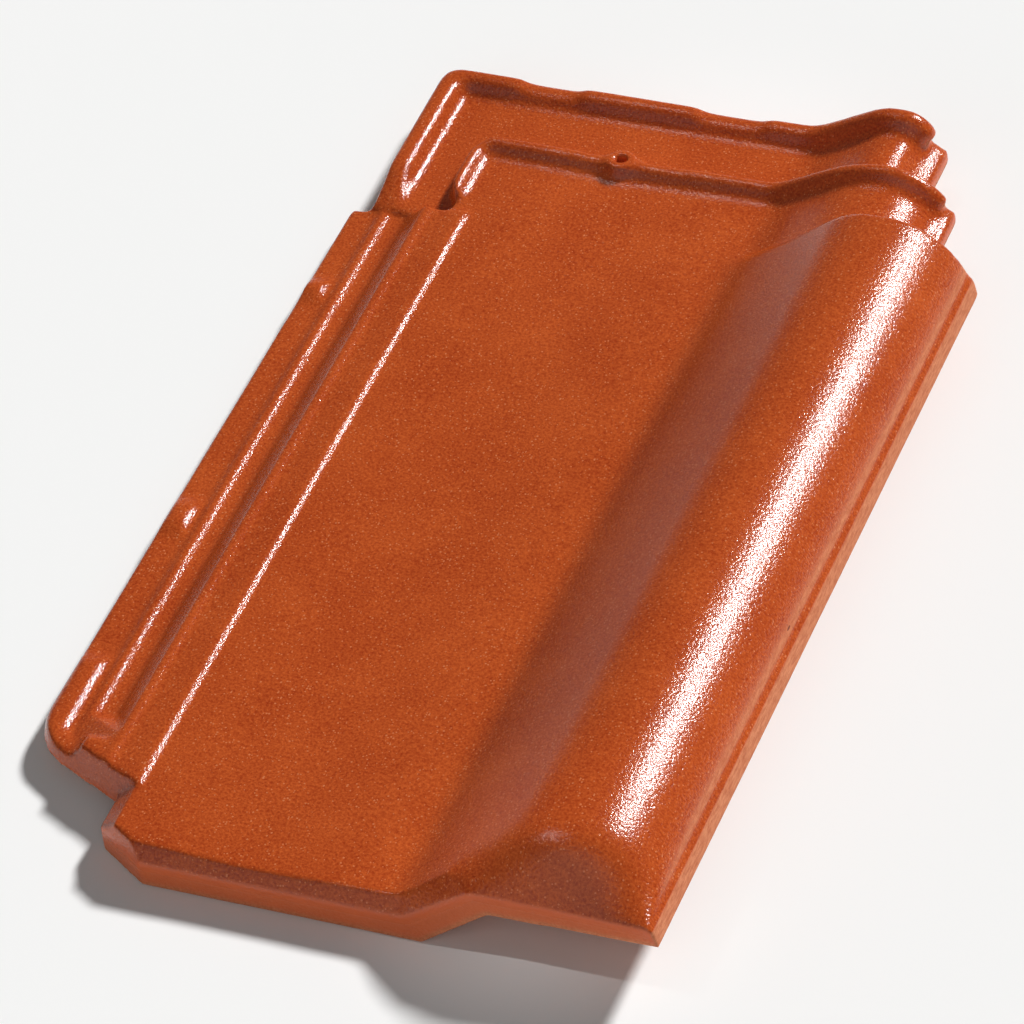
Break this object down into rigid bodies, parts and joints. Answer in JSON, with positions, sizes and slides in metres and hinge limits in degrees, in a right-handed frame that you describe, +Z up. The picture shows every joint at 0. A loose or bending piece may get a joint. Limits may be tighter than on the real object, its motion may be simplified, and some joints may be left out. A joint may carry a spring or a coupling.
{
  "type": "clay roof tile",
  "caption": "Interlocking clay roof tile with a flat pan, a rounded roll, a grooved side lock and a head lock with a nail hole, for pitched roofs on battens.",
  "frame": {"origin": "middle of the tile's outline, on the floor that it lies on", "axes": "+X across from the side lock to the roll, +Y up the slope from the front edge to the head, +Z up out of the weather face"},
  "size_m": [0.28, 0.469, 0.058],
  "materials": {
    "fired_clay": "satin natural red engobe on fired clay"
  },
  "bodies": {
    "root": {"roof_tile": "fired_clay"}
  },
  "joints": []
}
